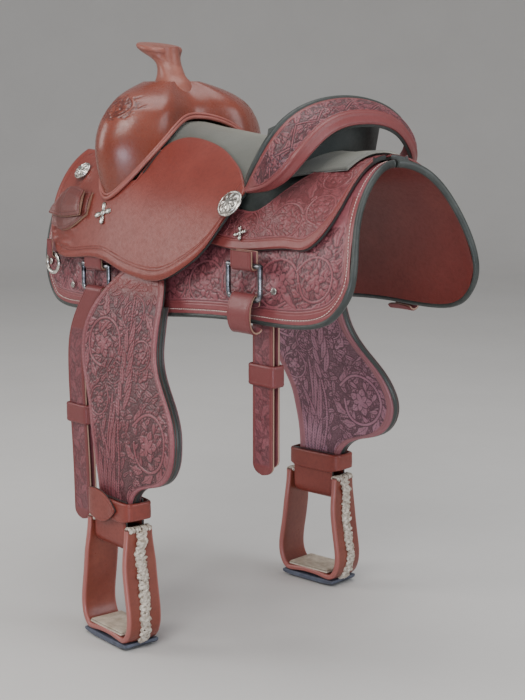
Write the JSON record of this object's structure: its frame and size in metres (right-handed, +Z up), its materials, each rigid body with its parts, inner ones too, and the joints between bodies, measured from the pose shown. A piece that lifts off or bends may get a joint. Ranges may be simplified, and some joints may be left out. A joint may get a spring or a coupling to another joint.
{
  "type": "western saddle",
  "caption": "Western riding saddle with carved skirts, swell and horn, suede seat, raised cantle roll, hanging fenders and wooden stirrups.",
  "frame": {"origin": "top of the channel over the horse's spine, under the lowest place of the seat, where the saddle rests on a back or stand", "axes": "+Z up, -X towards the horse's head (the horn end), -Y towards the near (left) side"},
  "size_m": [0.7718, 0.5494, 0.9886],
  "materials": {
    "saddle_leather": "smooth oiled",
    "tooled_leather": "tooled, antiqued",
    "lining_leather": "smooth dark",
    "edge_leather": "burnished edge",
    "horn_leather": "natural wrap",
    "seat_suede": "napped suede",
    "strap_leather": "oiled strap",
    "tree_wood": "rawhide-covered",
    "stirrup_wood": "varnished",
    "steel": "aged",
    "silver": "polished, worn",
    "rawhide": "braided rawhide",
    "tread_rubber": "worn",
    "tread_leather": "worn natural",
    "cast_horn": "rough"
  },
  "bodies": {
    "saddle": {"billet_bar": "steel", "cantle_back": "saddle_leather", "cantle_board": "tree_wood", "cantle_roll": "edge_leather", "conchos": "silver", "fork": "tree_wood", "gullet_plate": "steel", "horn_bolts": "steel", "horn_cap": "horn_leather", "horn_core": "cast_horn", "horn_wrap": "horn_leather", "latigo_carrier": "strap_leather", "ornaments": "silver", "rear_jockey_left": "tooled_leather", "rear_jockey_right": "tooled_leather", "ring_straps": "strap_leather", "saddle_screws": "silver", "seat_jockey_left": "saddle_leather", "seat_jockey_right": "saddle_leather", "seat_pad": "seat_suede", "seat_strainer": "tree_wood", "skirt_bindings": "edge_leather", "skirt_left": "tooled_leather", "skirt_linings": "lining_leather", "skirt_right": "tooled_leather", "swell_cover": "saddle_leather", "swell_welt": "saddle_leather", "tree_bars": "tree_wood"},
    "left_leathers": {"fender_left": "tooled_leather", "fender_core_left": "strap_leather", "fender_lining_left": "lining_leather", "hobble_strap_left": "strap_leather", "stirrup_leather_left": "strap_leather"},
    "left_stirrup": {"stirrup_left": "stirrup_wood", "tread_left": "tread_leather", "tread_base_left": "tread_rubber", "stirrup_bolt_left": "steel", "rawhide_left": "rawhide"},
    "front_dee_ring_left": {"front_dee_left": "steel"},
    "rear_dee_ring_left": {"rear_dee_left": "steel", "carrier_loop_left": "strap_leather"},
    "breast_ring_hoop_left": {"breast_ring_left": "steel"},
    "right_leathers": {"fender_right": "tooled_leather", "fender_core_right": "strap_leather", "fender_lining_right": "lining_leather", "hobble_strap_right": "strap_leather", "stirrup_leather_right": "strap_leather"},
    "right_stirrup": {"stirrup_right": "stirrup_wood", "tread_right": "tread_leather", "tread_base_right": "tread_rubber", "stirrup_bolt_right": "steel", "rawhide_right": "rawhide"},
    "front_dee_ring_right": {"front_dee_right": "steel"},
    "rear_dee_ring_right": {"rear_dee_right": "steel", "carrier_loop_right": "strap_leather"},
    "breast_ring_hoop_right": {"breast_ring_right": "steel"},
    "latigo_strap": {"latigo": "strap_leather"},
    "latigo_loop": {"latigo_keeper": "strap_leather"},
    "billet_strap": {"rear_billet": "strap_leather"},
    "billet_loop": {"billet_keeper": "strap_leather"}
  },
  "joints": [
    {"name": "left_leathers_swing", "type": "hinge", "parent": "saddle", "child": "left_leathers", "pos_m": [-0.022, -0.15, -0.062], "axis": [0, -1, 0], "range_deg": [-4, 12]},
    {"name": "left_stirrup_swing", "type": "hinge", "parent": "left_leathers", "child": "left_stirrup", "pos_m": [-0.03626, -0.23589, -0.595], "axis": [0.9968, -0.0797, 0], "range_deg": [-20, 20]},
    {"name": "front_dee_left_swing", "type": "hinge", "parent": "saddle", "child": "front_dee_ring_left", "pos_m": [-0.161, -0.18, -0.16], "axis": [-1, 0, 0], "range_deg": [0, 30]},
    {"name": "rear_dee_left_swing", "type": "hinge", "parent": "saddle", "child": "rear_dee_ring_left", "pos_m": [0.214, -0.183, -0.126], "axis": [-1, 0, 0], "range_deg": [0, 30]},
    {"name": "breast_ring_left_swing", "type": "hinge", "parent": "saddle", "child": "breast_ring_hoop_left", "pos_m": [-0.293, -0.174, -0.151], "axis": [-1, 0, 0], "range_deg": [-8, 50]},
    {"name": "right_leathers_swing", "type": "hinge", "parent": "saddle", "child": "right_leathers", "pos_m": [-0.022, 0.15, -0.062], "axis": [0, -1, 0], "range_deg": [-4, 12]},
    {"name": "right_stirrup_swing", "type": "hinge", "parent": "right_leathers", "child": "right_stirrup", "pos_m": [-0.03626, 0.23589, -0.595], "axis": [0.9968, 0.0797, 0], "range_deg": [-20, 20]},
    {"name": "front_dee_right_swing", "type": "hinge", "parent": "saddle", "child": "front_dee_ring_right", "pos_m": [-0.161, 0.18, -0.16], "axis": [1, 0, 0], "range_deg": [0, 30]},
    {"name": "rear_dee_right_swing", "type": "hinge", "parent": "saddle", "child": "rear_dee_ring_right", "pos_m": [0.214, 0.183, -0.126], "axis": [1, 0, 0], "range_deg": [0, 30]},
    {"name": "breast_ring_right_swing", "type": "hinge", "parent": "saddle", "child": "breast_ring_hoop_right", "pos_m": [-0.293, 0.174, -0.151], "axis": [1, 0, 0], "range_deg": [-8, 50]},
    {"name": "latigo_swing", "type": "hinge", "parent": "front_dee_ring_left", "child": "latigo_strap", "pos_m": [-0.161, -0.18, -0.204], "axis": [-1, 0, 0], "range_deg": [0, 35]},
    {"name": "latigo_loop_slide", "type": "slide", "parent": "latigo_strap", "child": "latigo_loop", "axis": [0.075, 0, -0.9972], "range_m": [-0.01, 0.05]},
    {"name": "billet_swing", "type": "hinge", "parent": "saddle", "child": "billet_strap", "pos_m": [0.225, -0.147, -0.2], "axis": [1, 0, 0], "range_deg": [-3, 35]},
    {"name": "billet_loop_slide", "type": "slide", "parent": "billet_strap", "child": "billet_loop", "axis": [0, 0, -1], "range_m": [-0.02, 0.1]}
  ]
}
